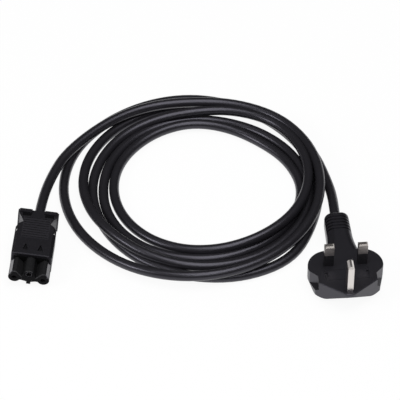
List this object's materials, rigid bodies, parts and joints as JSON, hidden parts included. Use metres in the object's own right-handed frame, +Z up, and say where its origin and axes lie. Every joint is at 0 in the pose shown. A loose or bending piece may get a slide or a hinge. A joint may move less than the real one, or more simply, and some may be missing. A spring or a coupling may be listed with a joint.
{
  "type": "power connector cable",
  "caption": "Black mains lead: fused plug with rectangular pins, loosely coiled round cord and a ribbed coupler socket with a keyed barrel nose.",
  "frame": {"origin": "on the floor under the middle of the box round plug and coupler, cord left out", "axes": "+X from the coupler to the plug, +Y from their fronts towards the coil, +Z up along the plug's pins"},
  "size_m": [0.248, 0.2064, 0.0397],
  "materials": {
    "black_moulding": "satin black moulding",
    "coupler_plastic": "satin black moulding",
    "sleeve_plastic": "matte black",
    "inner_plastic": "plain off-white moulding",
    "cord_sheath": "satin black sheath",
    "plated_brass": "nickel plated",
    "bare_brass": "bright brass sheet",
    "fuse_ceramic": "unglazed white",
    "screw_steel": "zinc plated",
    "brown_core": "brown insulation",
    "blue_core": "blue insulation",
    "earth_core": "green and yellow insulation"
  },
  "bodies": {
    "lead": {"plug_body": "black_moulding", "pin_carrier": "inner_plastic", "earth_pin": "plated_brass", "line_pin": "plated_brass", "neutral_pin": "plated_brass", "line_pin_sleeve": "sleeve_plastic", "neutral_pin_sleeve": "sleeve_plastic", "fuse_clip_line": "bare_brass", "fuse_clip_load": "bare_brass", "earth_strap": "bare_brass", "core_crimps": "bare_brass", "plug_core_line": "brown_core", "plug_core_neutral": "blue_core", "plug_core_earth": "earth_core", "contact_block": "coupler_plastic", "upper_shell": "coupler_plastic", "lower_shell": "coupler_plastic", "contact_line": "plated_brass", "contact_earth": "plated_brass", "contact_neutral": "plated_brass", "terminal_screws": "screw_steel", "cord_clamp": "inner_plastic", "clamp_screws": "screw_steel", "coupler_core_line": "brown_core", "coupler_core_neutral": "blue_core", "coupler_core_earth": "earth_core", "coupler_lead": "cord_sheath", "cord_coil": "cord_sheath", "plug_lead": "cord_sheath"},
    "fuse_drawer": {"fuse_carrier": "black_moulding", "fuse_tube": "fuse_ceramic", "fuse_cap_line": "plated_brass", "fuse_cap_load": "plated_brass"}
  },
  "joints": [
    {"name": "fuse_drawer_slide", "type": "slide", "parent": "lead", "child": "fuse_drawer", "axis": [0, 0, 1], "range_m": [0, 0.009]}
  ]
}
